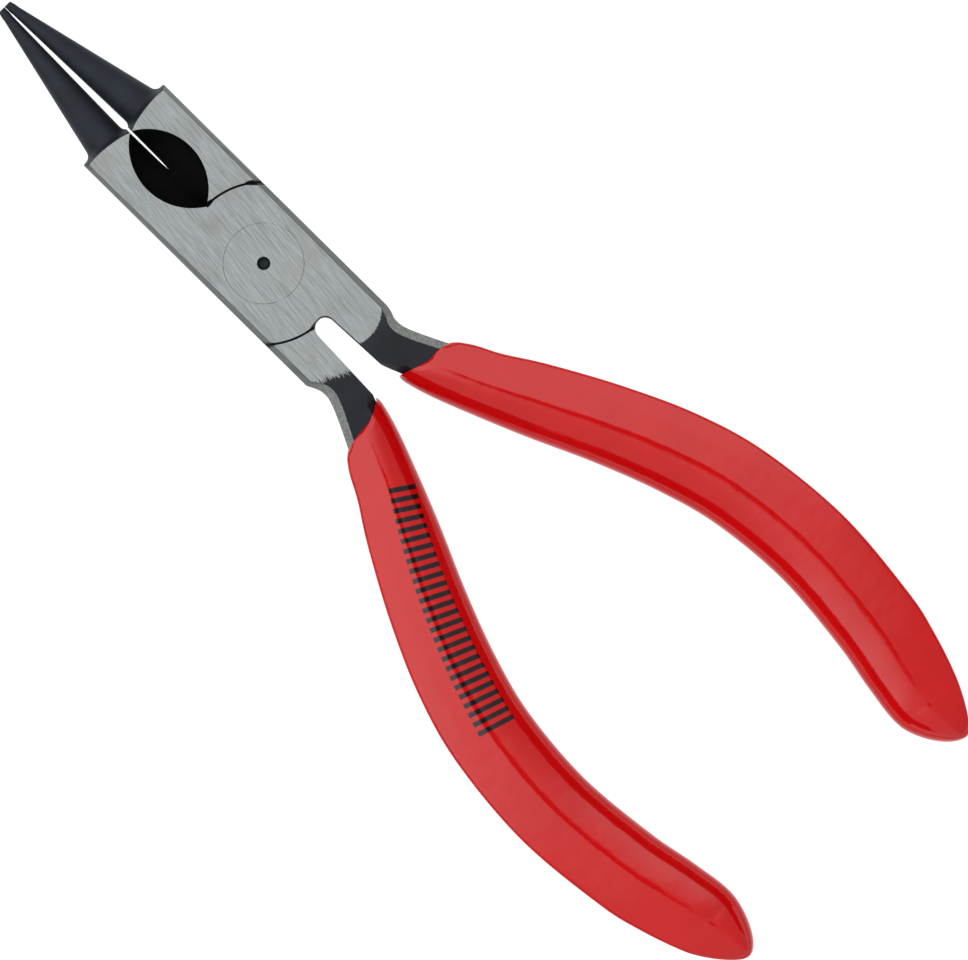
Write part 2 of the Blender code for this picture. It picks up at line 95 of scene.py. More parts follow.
# Jaw cone, shoulder and cutter recess
TIP_RADIUS = 0.396
TIP_PAD = 0.03                    # the ends are a touch fuller, so that only they meet
TIP_PAD_LENGTH = 0.75
TIP_PAD_END = 1.2
JAW_GAP = 0.039                   # cone to the mid plane at the nose
CONE_TILT = math.radians(7.245)
CONE_HALF_ANGLE = math.radians(6.005)
CONE_LENGTH = 17.9
FILLET_R = 0.9
SHOULDER_START = (3.35, 18.80)
SHOULDER_END = (6.4, 20.6)
SHOULDER_BULGE = 0.44
SHOULDER_X = 20.0                 # front of the joint's straight sides
JAW_CUTTER_R = 16.0
JAW_CUTTER_AHEAD = 2.0            # it starts this far in front of the nose
RECESS_FRONT = 20.35
RECESS_REAR = 8.75
RECESS_UPPER_SAG = 3.20
RECESS_LOWER_SAG = 3.46
RECESS_FLOOR = 0.05
RECESS_LEVELS = 14
RECESS_POWER = 0.85               # how soon the hollow widens from the edge upwards
RECESS_FLARE = 0.4                # and how it goes on widening above the ground face
RECESS_KEEL = 0.012               # share of its width left at the edge
RECESS_TRIM = 0.5                 # the hollow is this much shorter at the edge, at each end
EDGE_CLEARANCE = 0.00001          # no light passes between the cutting edges
SLIT_REAR = 14.6                  # the edges touch behind here
SLIT_HALF = 0.075                 # and stand this far off the mid plane in front
SLIT_FRONT_HALF = 0.13
SLIT_RAMP = 1.0                   # length over which the edges part
NOSE_CLEARANCE = 0.005            # the blank's own clearance in front of the recess

# Handle and grip stations: outer edge, inner edge, half thickness
NECK_STATIONS = [
    ((-12.6, 6.18), (-12.6, 0.40), 4.00),
    ((-13.5, 5.80), (-13.8, 0.50), 4.00),
    ((-14.3, 5.53), (-15.0, 0.70), 3.95),
    ((-15.4, 5.56), (-16.2, 1.00), 3.82),
    ((-16.8, 6.05), (-17.5, 1.42), 3.60),
    ((-18.8, 6.97), (-18.9, 1.98), 3.25),
]
GRIP_STATIONS = [
    ((-20.9, 8.45), (-18.8, 1.45), 3.55),
    ((-22.7, 9.75), (-22.6, 2.45), 3.72),
    ((-25.3, 11.15), (-27.4, 4.22), 3.85),
    ((-29.7, 13.95), (-33.4, 6.65), 3.95),
    ((-37.1, 18.00), (-40.9, 9.95), 4.00),
    ((-45.0, 21.52), (-48.0, 12.62), 4.00),
    ((-53.1, 23.80), (-54.9, 14.43), 4.00),
    ((-64.0, 24.82), (-64.0, 15.22), 4.00),
    ((-74.7, 23.88), (-73.3, 14.43), 3.95),
    ((-79.8, 22.76), (-79.2, 13.38), 3.86),
    ((-84.9, 21.02), (-84.4, 12.84), 3.60),
]
GRIP_HEADING = ((-89.8, 18.70), (-89.6, 14.20), 2.90)   # the last station's sides point here
LEAN_UPPER = (0.22, -0.15)
LEAN_LOWER = (-0.05, 0.0)
LEAN_STATIONS = 4
END_PULL = 2.05                   # how far the sides run on before they turn in at the end
END_CORNER_UPPER = (0.9, 2.1)     # fullness of the end's outer and inner corners
END_CORNER_LOWER = (1.3, 1.7)
END_FULLNESS = 2.2                # higher is blunter, seen from the side
END_BACK = 0.05                   # stations, to take the sides' heading over
CAP_CLOSE = 0.4                   # the last ring stays this share of a step short of the end
GRIP_WALL = 1.0
GRIP_WALL_LIP = 0.45
FIT_GAP = 0.1
TANG_STATIONS = 10
TANG_THICKNESS_INSET = 1.0
TANG_LIP_INSET = 0.5
TANG_CHAMFER = 1.1
LIP_LENGTH = 0.75                 # the dipped edge thins to nothing over this length
MOUTH_UPPER = (-0.12, -0.23, -0.28, 0.28, 0.44)    # run of the dipped edge, inner to outer
MOUTH_LOWER = (0.0, -0.70, -0.50, -0.12, -0.04)
MOUTH_FADE = 5.0
MOUTH_AIM = 2                     # the edge slides along the line to this ring of the hollow
MOUTH_SPANS = 2                   # and takes the hollow with it over this many spans

# Mesh fineness
NECK_RINGS = 10
GRIP_RINGS = 14
CAP_RINGS = 32
QUARTER_POINTS = 48
LIP_RINGS = 14
HOLLOW_RINGS = 3
TURNED_SIDES = 160
CONE_SIDES = 160
ARC_STEPS = 72
SLOT_STEPS = 24
PROFILE_STEPS = 14
TANG_RINGS = 3

# Grinding marks run this far off the long axis
GRAIN_ANGLE = math.radians(-5.5)

# Camera: the frame's width and the point it looks down at
VIEW_WIDTH = 105.14
VIEW_CENTRE = (-33.52, -0.11)
VIEW_TURN = math.radians(224.69)
LENS = 1000.0
SENSOR = 36.0


# ---------------------------------------------------------------- outlines

def arc(centre, radius, start, end, steps):
    """Points on an arc, angles in degrees, both ends included."""
    points = []
    for step in range(steps + 1):
        angle = math.radians(start + (end - start) * step / steps)
        points.append((centre[0] + radius * math.cos(angle), centre[1] + radius * math.sin(angle)))
    return points


def bulge_arc(start, end, sag, steps):
    """Points on the arc from start to end that stands sag to the right of its chord."""
    start, end = Vector(start), Vector(end)
    half = (end - start) / 2
    side = Vector((half.y, -half.x)).normalized()
    radius = (half.length ** 2 + sag ** 2) / (2 * sag)
    centre = start + half - side * (radius - sag)
    half_angle = math.asin(min(1.0, half.length / radius))
    points = []
    for step in range(steps + 1):
        angle = -half_angle + 2 * half_angle * step / steps
        along = half.normalized() * math.sin(angle)
        points.append(tuple(centre + (along + side * math.cos(angle)) * radius))
    return points


def catmull_rom(values, position):
    """Smooth curve through equally spaced control values, each a Vector."""
    last = len(values) - 1
    index = min(int(position), last - 1)
    t = position - index
    p1, p2 = values[index], values[index + 1]
    p0 = values[index - 1] if index else p1 * 2 - p2
    p3 = values[index + 2] if index + 2 <= last else p2 * 2 - p1
    return 0.5 * (2 * p1 + (p2 - p0) * t + (2 * p0 - 5 * p1 + 4 * p2 - p3) * t ** 2
                  + (3 * p1 - p0 - 3 * p2 + p3) * t ** 3)


def spaced_evenly(points, count):
    """The same curve with count points at equal steps along it, ends kept."""
    lengths = [0.0]
    for a, b in zip(points, points[1:]):
        lengths.append(lengths[-1] + (Vector(b) - Vector(a)).length)
    spaced = []
    index = 0
    for step in range(count):
        target = lengths[-1] * step / (count - 1)
        while index < len(points) - 2 and lengths[index + 1] < target:
            index += 1
        share = (target - lengths[index]) / (lengths[index + 1] - lengths[index])
        spaced.append(Vector(points[index]).lerp(Vector(points[index + 1]), share))
    return spaced


# ---------------------------------------------------------------- meshes

def new_object(name, bm, materials):
    """Scale a mesh from millimetres to metres and link it as an object."""
    bmesh.ops.transform(bm, matrix=Matrix.Scale(MM, 4), verts=bm.verts)
    bmesh.ops.recalc_face_normals(bm, faces=bm.faces)
    mesh = bpy.data.meshes.new(name)
    bm.to_mesh(mesh)
    bm.free()
    for material in materials:
        mesh.materials.append(material)
    obj = bpy.data.objects.new(name, mesh)
    bpy.context.scene.collection.objects.link(obj)
    return obj


def loft(rings, side_materials=None):
    """Skin a row of equal rings of points and close both ends."""
    bm = bmesh.new()
    rows = [[bm.verts.new(point) for point in ring] for ring in rings]
    count = len(rows[0])
    for index, (row, following) in enumerate(zip(rows, rows[1:])):
        for k in range(count):
            after = (k + 1) % count
            face = bm.faces.new((row[k], row[after], following[after], following[k]))
            if side_materials:
                face.material_index = side_materials(index, k)
    bm.faces.new(reversed(rows[0]))
    bm.faces.new(rows[-1])
    return bm


def prism(outline, low, high):
    """A flat outline extruded from one height to another."""
    return loft([[(x, y, height) for x, y in outline] for height in (low, high)])


def turned(profile, sides, closed=False):
    """A profile of (radius, height) points turned about Z."""
    bm = bmesh.new()
    verts = [bm.verts.new((radius, 0.0, height)) for radius, height in profile]
    edges = [bm.edges.new(pair) for pair in zip(verts, verts[1:])]
    if closed:
        edges.append(bm.edges.new((verts[-1], verts[0])))
    bmesh.ops.spin(bm, geom=verts + edges, axis=(0, 0, 1), cent=(0, 0, 0), dvec=(0, 0, 0),
                   angle=2 * math.pi, steps=sides, use_merge=True)
    bmesh.ops.remove_doubles(bm, verts=bm.verts, dist=1e-5)
    return bm


def cut(obj, tools):
    """Take each tool away from an object; cut faces keep the tool's own finish."""
    for tool in tools:
        modifier = obj.modifiers.new("cut_" + tool.name, "BOOLEAN")
        modifier.operation = "DIFFERENCE"
        modifier.solver = "EXACT"
        modifier.material_mode = "TRANSFER"
        modifier.object = tool


def bake(obj):
    """Keep the object's shape after its modifiers as its own mesh."""
    bpy.context.view_layer.update()
    depsgraph = bpy.context.evaluated_depsgraph_get()
    mesh = bpy.data.meshes.new_from_object(obj.evaluated_get(depsgraph))
    obj.modifiers.clear()
    obj.data = mesh


def turn_over(obj):
    """Turn a piece over about the pliers' long axis at mid thickness."""
    obj.data.transform(Matrix.Translation((0, 0, THICK * MM)) @ Matrix.Rotation(math.pi, 4, "X"))


# ---------------------------------------------------------------- handle sections

def handle_station(stations, position):
    """Outer edge, inner edge and half thickness at a place along a row of stations, on -Y."""
    outer = catmull_rom([Vector(outer) for outer, inner, half in stations], position)
    inner = catmull_rom([Vector(inner) for outer, inner, half in stations], position)
    half = catmull_rom([Vector((half, 0)) for outer, inner, half in stations], position)[0]
    return Vector((outer.x, -outer.y)), Vector((inner.x, -inner.y)), half


def lean(stations, shift):
    """Move the foremost stations' two edges sideways, less and less towards the rear."""
    leaning = []
    for index, (outer, inner, half) in enumerate(stations):
        share = max(0.0, 1 - index / LEAN_STATIONS)
        outer = (outer[0], outer[1] + shift[0] * share)
        inner = (inner[0], inner[1] + shift[1] * share)
        leaning.append((outer, inner, half))
    return leaning


def bar_ring(outer, inner, half, outer_chamfer, inner_chamfer, drop):
    """An eight-cornered forged section standing over the line from outer to inner."""
    across = (inner - outer).normalized()
    ring = []
    for base, shift, height in (
            (outer, outer_chamfer, half), (outer, 0.0, half - drop),
            (outer, 0.0, drop - half), (outer, outer_chamfer, -half),
            (inner, -inner_chamfer, -half), (inner, 0.0, drop - half),
            (inner, 0.0, half - drop), (inner, -inner_chamfer, half)):
        point = base + across * shift
        ring.append((point.x, point.y, MID + height))
    return ring


def tang_stations():
    """The steel inside the grip: the grip's stations, set in by its wall."""
    stations = []
    for index, (outer, inner, half) in enumerate(GRIP_STATIONS[:TANG_STATIONS]):
        share = min(1.0, index / 2)
        wall = GRIP_WALL_LIP + (GRIP_WALL - GRIP_WALL_LIP) * share + FIT_GAP
        inset = TANG_LIP_INSET + (TANG_THICKNESS_INSET - TANG_LIP_INSET) * share
        outer, inner = Vector(outer), Vector(inner)
        across = (inner - outer).normalized()
        stations.append((tuple(outer + across * wall), tuple(inner - across * wall), half - inset))
    return stations


def neck_rings(shift):
    rings = []
    last = len(NECK_STATIONS) - 1
    stations = [NECK_STATIONS[0]]
    for (outer_x, outer_y), inner, half in NECK_STATIONS[1:]:
        stations.append(((outer_x, outer_y + shift[0]), inner, half))
    for step in range(last * NECK_RINGS + 1):
        position = step / NECK_RINGS
        outer, inner, half = handle_station(stations, position)
        outer_chamfer = CHAMFER_REAR + (CHAMFER_NECK - CHAMFER_REAR) * min(1.0, position / 2)
        inner_chamfer = max(NECK_INNER_CHAMFER, TANG_CHAMFER * (position / last) ** 3)
        rings.append(bar_ring(outer, inner, half, outer_chamfer, inner_chamfer, CHAMFER_DROP))
    return rings


def tang_rings(shift):
    rings = []
    stations = lean(tang_stations(), shift)
    for step in range((len(stations) - 1) * TANG_RINGS + 1):
        outer, inner, half = handle_station(stations, step / TANG_RINGS)
        rings.append(bar_ring(outer, inner, half, TANG_CHAMFER, TANG_CHAMFER, TANG_CHAMFER))
    return rings


# ---------------------------------------------------------------- steel half

GROUND, SIDE, BLACK = range(3)    # finishes of the blank's own faces
FLAT_FACES = (3, 7)               # of the eight sides of a bar_ring
OUTER_FACES = (0, 1, 2)
BLANK_STEP = 0.05                 # from the joint's block to the neck's first ring
STEEL_SHARP = 30                  # degrees between faces from which an edge is sharp
GRIP_SHARP = 50


def blank_finish(ring, face):
    """Flat faces are ground, the outer side is left bright, the handle's rest is black."""
    if face in FLAT_FACES:
        return GROUND
    if face in OUTER_FACES or ring == 0:
        return SIDE
    return BLACK


def half_blank(name, shift, materials):
    rings = []
    slope = (CHAMFER_REAR - CHAMFER_FRONT) / (SHOULDER_X - NECK_START)
    for x in (NOSE_TIP, NECK_START + BLANK_STEP):
        outer, inner = Vector((x, -BODY_HALF)), Vector((x, BODY_HALF))
        chamfer = CHAMFER_FRONT + slope * (SHOULDER_X - x)
        rings.append(bar_ring(outer, inner, MID, chamfer, chamfer, CHAMFER_DROP))
    rings += neck_rings(shift)
    rings += tang_rings(shift)[1:]
    return new_object(name, loft(rings, blank_finish), materials)


def nose_side_cutter(material):
    """Clears the room of the other half's jaw, in front of the lap plate's edge."""
    far = NOSE_TIP + BLOCK_OVERRUN
    outline = arc((0, 0), DISC_R, *LAP_FRONT, ARC_STEPS)
    outline[-1] = (math.sqrt(DISC_R ** 2 - EDGE_CLEARANCE ** 2), EDGE_CLEARANCE)
    side = -BODY_HALF - BLOCK_OVERRUN
    outline += [(SLIT_REAR, EDGE_CLEARANCE), (SLIT_REAR + SLIT_RAMP, SLIT_HALF),
                (RECESS_FRONT, SLIT_FRONT_HALF), (far, NOSE_CLEARANCE),
                (far, side), (NOSE_BLOCK_REAR, side)]
    return new_object("nose_side_cutter", prism(outline, -LEVEL_OVERRUN, THICK + LEVEL_OVERRUN),
                      [material])


def handle_side_cutter(slot_y, material):
    """Clears the room of the other half's handle root, and the slot between the two."""
    side = BODY_HALF + BLOCK_OVERRUN
    seam = arc((0, 0), DISC_R, *LAP_REAR, ARC_STEPS)
    slot = arc((SLOT_CENTRE, slot_y), SLOT_HALF, 0, -90, SLOT_STEPS)
    slot += [(SLOT_REAR[0], slot_y - SLOT_REAR[1]),
             (HANDLE_BLOCK_REAR, slot_y - SLOT_REAR[1] - SLOT_FLARE),
             (HANDLE_BLOCK_REAR, side), (HANDLE_BLOCK_FRONT, side)]
    levels = ((-LEVEL_OVERRUN, 0.0), (THICK - SLOT_CHAMFER, 0.0),
              (THICK + LEVEL_OVERRUN, LEVEL_OVERRUN + SLOT_CHAMFER))
    rings = []
    for z, flare in levels:
        rings.append([(x, y, z) for x, y in seam] + [(x + flare, y - flare, z) for x, y in slot])
    return new_object("handle_side_cutter", loft(rings), [material])


def pocket_cutter(material):
    """The round pocket in the lower face that the other half's lap plate turns in."""
    outline = arc((0, 0), POCKET_R, 0, 360, 4 * ARC_STEPS)[:-1]
    return new_object("pocket_cutter", prism(outline, -LEVEL_OVERRUN, MID + LAP_GAP), [material])


def rivet_profile(grow, overshoot):
    """Outer side of the rivet from the upper head to the lower, as (radius, height)."""
    slope = (RIVET_HEAD_R - RIVET_SHANK_R) / RIVET_HEAD_DEPTH
    rim = RIVET_HEAD_R + grow + slope * overshoot
    return [(rim, THICK + overshoot), (RIVET_SHANK_R + grow, THICK - RIVET_HEAD_DEPTH),
            (RIVET_SHANK_R + grow, RIVET_HEAD_DEPTH), (rim, -overshoot)]


def rivet_hole_cutter(material):
    over = RIVET_HOLE_OVERSHOOT
    profile = [(0, THICK + over)] + rivet_profile(RIVET_PLAY, over) + [(0, -over)]
    return new_object("rivet_hole_cutter", turned(profile, TURNED_SIDES), [material])


def jaw_cutter(material):
    """Everything outside the turned cone and its shoulder, about the cone's axis."""
    slope = math.tan(CONE_HALF_ANGLE)
    half_degrees = math.degrees(CONE_HALF_ANGLE)
    root = TIP_RADIUS + slope * CONE_LENGTH
    centre = (root + FILLET_R * math.cos(CONE_HALF_ANGLE),
              CONE_LENGTH - FILLET_R * math.sin(CONE_HALF_ANGLE))
    fillet = arc(centre, FILLET_R, 180 - half_degrees, 90, PROFILE_STEPS)
    shoulder = bulge_arc(SHOULDER_START, SHOULDER_END, SHOULDER_BULGE, PROFILE_STEPS)
    pad = [(TIP_RADIUS + TIP_PAD, 0.0),
           (TIP_RADIUS + slope * TIP_PAD_END, TIP_PAD_LENGTH),
           (TIP_RADIUS + slope * TIP_PAD_END, TIP_PAD_END)]
    ahead = JAW_CUTTER_AHEAD
    inner = [(TIP_RADIUS + TIP_PAD - slope * ahead, -ahead)] + pad + fillet + shoulder
    profile = [(JAW_CUTTER_R, -ahead), (JAW_CUTTER_R, SHOULDER_END[1])] + inner[::-1]
    bm = turned([(radius, -distance) for radius, distance in profile], CONE_SIDES, closed=True)
    tip_y = JAW_GAP + TIP_RADIUS / math.cos(CONE_HALF_ANGLE)
    axis = Vector((math.cos(CONE_TILT), -math.sin(CONE_TILT), 0.0))
    turn = axis.to_track_quat("Z", "Y").to_matrix().to_4x4()
    bmesh.ops.transform(bm, matrix=Matrix.Translation((NOSE_TIP, tip_y, MID)) @ turn, verts=bm.verts)
    return new_object("jaw_cutter", bm, [material])


def recess_cutter(name, sag_handle_side, sag_jaw_side, low, high, material):
    """A lens-shaped hollow from a ground face down to the cutting edge."""
    rings = []
    for level in range(RECESS_LEVELS + 2):
        rise = level / RECESS_LEVELS
        share = math.sin(math.pi / 2 * min(1.0, rise)) ** RECESS_POWER
        share = max(RECESS_KEEL, share + max(0.0, rise - 1) * RECESS_FLARE)
        trim = RECESS_TRIM * (1 - min(1.0, rise * 2))
        front, rear = (RECESS_FRONT - trim, 0), (RECESS_REAR + trim, 0)
        ring = bulge_arc(rear, front, sag_handle_side * share, ARC_STEPS)[:-1]
        ring += bulge_arc(front, rear, sag_jaw_side * share, ARC_STEPS)[:-1]
        rings.append([(x, y, low + (high - low) * rise) for x, y in ring])
    return new_object(name, loft(rings), [material])


def smooth(obj, degrees):
    obj.data.shade_smooth()
    obj.data.set_sharp_from_angle(angle=math.radians(degrees))
    weighted = obj.modifiers.new("flat_faces_stay_flat", "WEIGHTED_NORMAL")
    weighted.keep_sharp = True


def make_half(name, slot_y, shift, finishes, ground, over):
    obj = half_blank(name, shift, [ground, finishes["side"], finishes["black"]])
    tools = [
        handle_side_cutter(slot_y, finishes["lap"]),
        nose_side_cutter(finishes["lap"]),
        pocket_cutter(finishes["lap"]),
        jaw_cutter(finishes["black"]),
        recess_cutter("upper_recess_cutter", RECESS_LOWER_SAG, RECESS_UPPER_SAG,
                      MID + RECESS_FLOOR, THICK, finishes["recess"]),
        recess_cutter("lower_recess_cutter", RECESS_UPPER_SAG, RECESS_LOWER_SAG,
                      MID - RECESS_FLOOR, 0.0, finishes["recess"]),
        rivet_hole_cutter(finishes["lap"]),
    ]
    cut(obj, tools)
    bake(obj)
    for tool in tools:
        bpy.data.objects.remove(tool, do_unlink=True)
    smooth(obj, STEEL_SHARP)
    if over:
        turn_over(obj)
    return obj


# ---------------------------------------------------------------- rivet

def make_rivet(steel, dark):
    dimple = [(DIMPLE_R * out, THICK - DIMPLE_DEPTH * down) for out, down in DIMPLE_PROFILE]
    bm = turned(dimple + rivet_profile(0.0, 0.0) + [(0, 0)], TURNED_SIDES)
    for face in bm.faces:
        centre = face.calc_center_median()
        face.material_index = int(centre.xy.length < DIMPLE_R and centre.z > MID)
    obj = new_object("rivet", bm, [steel, dark])
    smooth(obj, STEEL_SHARP)
    return obj


# ---------------------------------------------------------------- grips

CORNER_POWER = 20.0               # the outer side is full, with tight corners
INNER_POWER = 2.2                 # the inner side is nearly round
CROWN_DROP = 0.16                 # and falls this far from the crown to the corner
CROWN_POWER = 1.54
SECTION_STEPS = 600               # fine points that the ring's even ones are picked from


def unit_section():
    """One ring of (across, up) from the outer edge over the crown, full outside, round inside."""
    outer, inner = [], []
    for step in range(SECTION_STEPS + 1):
        turn = math.pi / 2 * step / SECTION_STEPS
        across = math.cos(turn) ** (2 / CORNER_POWER)
        up = math.sin(turn) ** (2 / CORNER_POWER) * (1 - CROWN_DROP * across ** CROWN_POWER)
        outer.append((across, up))
        inner.append((-math.sin(turn) ** (2 / INNER_POWER), math.cos(turn) ** (2 / INNER_POWER)))
    top = spaced_evenly(outer, QUARTER_POINTS + 1) + spaced_evenly(inner, QUARTER_POINTS + 1)[1:]
    under = [Vector((across, -up)) for across, up in reversed(top[1:-1])]
    return top + under


SECTION = unit_section()


def hollow_reach(across, up, half_width, half_height):
    """How far out along a direction the eight-cornered hollow's wall is."""
    corner = half_width + half_height - TANG_CHAMFER
    return 1 / max(abs(across) / half_width, abs(up) / half_height,
                   (abs(across) + abs(up)) / corner)


def grip_ring(outer, inner, half):
    centre, reach = (outer + inner) / 2, (outer - inner) / 2
    ring = []
    for across, up in SECTION:
        point = centre + reach * across
        ring.append(Vector((point.x, point.y, MID + half * up)))
    return ring


def hollow_ring(outer, inner, half):
    """The hollow's ring, point for point on the same rays as the outside's."""
    centre, reach = (outer + inner) / 2, (outer - inner) / 2
    unit = reach.normalized()
    ring = []
    for across, up in SECTION:
        ray = Vector((across * reach.length, up * half))
        ray *= hollow_reach(ray.x, ray.y, reach.length + FIT_GAP, half + FIT_GAP)
        point = centre + unit * ray.x
        ring.append(Vector((point.x, point.y, MID + ray.y)))
    return ring


def bezier(points, t):
    """A point on a cubic curve with four control points."""
    p0, p1, p2, p3 = (Vector(point) for point in points)
    s = 1 - t
    return s ** 3 * p0 + 3 * s * s * t * p1 + 3 * s * t * t * p2 + t ** 3 * p3


def end_rings(stations, end, corners):
    """Both sides run on from the last station and meet at the blunt end."""
    last = len(stations) - 2
    outer, inner, half = handle_station(stations, last)
    outer_back, inner_back, half_back = handle_station(stations, last - END_BACK)
    tip = Vector((end[0], -end[1]))
    sides = []
    for start, back, corner in ((outer, outer_back, -corners[0]), (inner, inner_back, corners[1])):
        pull = start + (start - back).normalized() * END_PULL
        sides.append((start, pull, tip + Vector((0, corner)), tip))
    rings = []
    for step in range(1, CAP_RINGS + 1):
        t = math.sin(math.pi / 2 * step / (CAP_RINGS + CAP_CLOSE))
        rings.append(grip_ring(bezier(sides[0], t), bezier(sides[1], t),
                               half * (1 - t ** END_FULLNESS) ** 0.5))
    return rings


def mouth_run(curve, across):
    """How far forward the dipped edge stands at a place from the inner to the outer side."""
    values = [Vector((value, 0)) for value in curve]
    return catmull_rom(values, (across + 1) / 2 * (len(values) - 1))[0]


def grip_mesh(end, corners, shift, mouth):
    stations = lean(GRIP_STATIONS, shift) + [GRIP_HEADING]
    tang = lean(tang_stations(), shift)
    span = (Vector(stations[1][0]) - Vector(stations[0][0])).length
    lip_share = LIP_LENGTH / span
    hollow = []
    for step in range((len(tang) - 1) * HOLLOW_RINGS + 1):
        hollow.append(hollow_ring(*handle_station(tang, step / HOLLOW_RINGS)))

    # The dipped edge swells from nothing on the steel to the grip's full thickness.
    outside = []
    for step in range(1, LIP_RINGS + 1):
        run = 1 - math.cos(math.pi / 2 * step / LIP_RINGS)
        inside_ring = hollow_ring(*handle_station(tang, run * lip_share))
        full_ring = grip_ring(*handle_station(stations, run * lip_share))
        swell = math.sqrt(1 - (1 - run) ** 2)
        outside.append([a.lerp(b, swell) for a, b in zip(inside_ring, full_ring)])
    for step in range(1, (len(stations) - 2) * GRIP_RINGS + 1):
        position = step / GRIP_RINGS
        if position > lip_share:
            outside.append(grip_ring(*handle_station(stations, position)))

    # It runs in its own curve over the steel, sliding along it less and less behind the mouth.
    edge = [point.copy() for point in hollow[0]]
    slide = [(a - b).normalized() for a, b in zip(hollow[0], hollow[MOUTH_AIM])]
    for ring in outside + hollow[:MOUTH_SPANS * HOLLOW_RINGS]:
        for k, (across, up) in enumerate(SECTION):
            behind = (edge[k] - ring[k]).xy.length
            ring[k] += slide[k] * mouth_run(mouth, across) * max(0.0, 1 - behind / MOUTH_FADE) ** 2
    return loft(hollow[::-1] + outside + end_rings(stations, end, corners))


def make_grip(name, end, corners, shift, mouth, material, over):
    obj = new_object(name, grip_mesh(end, corners, shift, mouth), [material])
    obj.data.shade_smooth()
    obj.data.set_sharp_from_angle(angle=math.radians(GRIP_SHARP))
    if over:
        turn_over(obj)
    return obj


# ---------------------------------------------------------------- shader helpers

class Shader:
    """A small builder for one material's or world's node tree."""

    def __init__(self, owner):
        self.tree = owner.node_tree
        self.nodes = self.tree.nodes

    def node(self, kind, **settings):
        made = self.nodes.new(kind)
        for key, value in settings.items():
            setattr(made, key, value)
        return made

    def link(self, source, target):
        self.tree.links.new(source, target)

    def feed(self, node, index, value):
        """Link a socket, or set a plain value, on one input."""
        if hasattr(value, "is_linked"):
            self.link(value, node.inputs[index])
        else:
            node.inputs[index].default_value = value

    def math(self, operation, first, second=0.0, clamp=False):
        made = self.node("ShaderNodeMath", operation=operation, use_clamp=clamp)
        self.feed(made, 0, first)
        self.feed(made, 1, second)
        return made.outputs[0]

    def ramp(self, value, low, high, start=0.0, end=1.0):
        """Smooth step of a value from start at low to end at high."""
        made = self.node("ShaderNodeMapRange", interpolation_type="SMOOTHSTEP")
        for index, item in enumerate((value, low, high, start, end)):
            self.feed(made, index, item)
        return made.outputs[0]

    def mix(self, factor, first, second):
        """Blend two colours."""
        made = self.node("ShaderNodeMix", data_type="RGBA")
        self.feed(made, 0, factor)
        self.feed(made, 6, first)
        self.feed(made, 7, second)
        return made.outputs[2]

    def place(self):
        """Position on the piece in millimetres."""
        coordinates = self.node("ShaderNodeTexCoord")
        scale = self.node("ShaderNodeVectorMath", operation="SCALE")
        self.link(coordinates.outputs["Object"], scale.inputs[0])
        scale.inputs["Scale"].default_value = 1 / MM
        return scale.outputs[0]

    def grain_place(self, place, along, across):
        """Position turned to the grinding direction and stretched along it."""
        turn = self.node("ShaderNodeMapping", vector_type="TEXTURE")
        turn.inputs["Rotation"].default_value = (0, 0, GRAIN_ANGLE)
        turn.inputs["Scale"].default_value = (along, across, across)
        self.link(place, turn.inputs[0])
        return turn.outputs[0]

    def noise(self, place, scale, detail=2.0, roughness=0.5):
        made = self.node("ShaderNodeTexNoise")
        self.link(place, made.inputs["Vector"])
        made.inputs["Scale"].default_value = scale
        made.inputs["Detail"].default_value = detail
        made.inputs["Roughness"].default_value = roughness
        return made.outputs["Fac"]

    def split(self, vector):
        made = self.node("ShaderNodeSeparateXYZ")
        self.link(vector, made.inputs[0])
        return made.outputs

    def bump(self, height, distance, strength=1.0):
        """Distance is in millimetres."""
        made = self.node("ShaderNodeBump")
        made.inputs["Strength"].default_value = strength
        made.inputs["Distance"].default_value = distance * MM
        self.link(height, made.inputs["Height"])
        return made.outputs[0]


def new_material(name):
    material = bpy.data.materials.new(name)
    material.use_nodes = True
    shader = Shader(material)
    return material, shader, shader.nodes["Principled BSDF"]


# ---------------------------------------------------------------- steel finishes

GROUND_COLOR = (0.422, 0.458, 0.460, 1)
GROUND_SHADE = (0.270, 0.290, 0.288, 1)
GROUND_TINT = (0.400, 0.395, 0.370, 1)
STAIN_COLOR = (0.330, 0.300, 0.250, 1)
STAIN_CENTRE = (6.8, 1.1)         # old oil behind the recess
STAIN_FADE = (2.4, 0.4, 0.0, 0.6)
SEAM_COLOR = (0.16, 0.13, 0.10, 1)
SEAM_FADE = (0.065, 0.02, 0.0, 0.62)
# Painted shade: near black along the ends of the lap seams, widening their dark gaps where the
# chamfered edges lie in shade
SEAM_SHADOW_COLOR = (0.012, 0.012, 0.012, 1)
SEAM_SHADOW_SIDE = (4.2, 5.5, 0.0, 0.28)     # off the middle, the painted shade's reach from none to full
SEAM_SHADOW_MIDDLE = (1.6, 0.3, 0.0, 0.24)
SEAM_SHADOW_REAR_SHIFT = 0.6             # the same on the rear seam, this much further out
SEAM_SHADOW_RAGGED = 0.12
SEAM_SHADOW_FADE = (0.12, 0.06)
# Painted shade: the joint's bevelled sides are ground steel painted darker than the flat faces for the
# shade of their slope
SIDE_COLOR = (0.118, 0.130, 0.130, 1)
SIDE_SHADE = (0.068, 0.075, 0.075, 1)
NECK_SIDE_COLOR = (0.275, 0.286, 0.270, 1)
NECK_SIDE_SHADE = (0.165, 0.172, 0.164, 1)
JAW_COLOR = (0.0170, 0.0230, 0.0345, 1)
JAW_SHADE = (0.0130, 0.0165, 0.0240, 1)
NECK_COLOR = (0.0105, 0.0140, 0.0215, 1)
NECK_SHADE = (0.0080, 0.0100, 0.0150, 1)
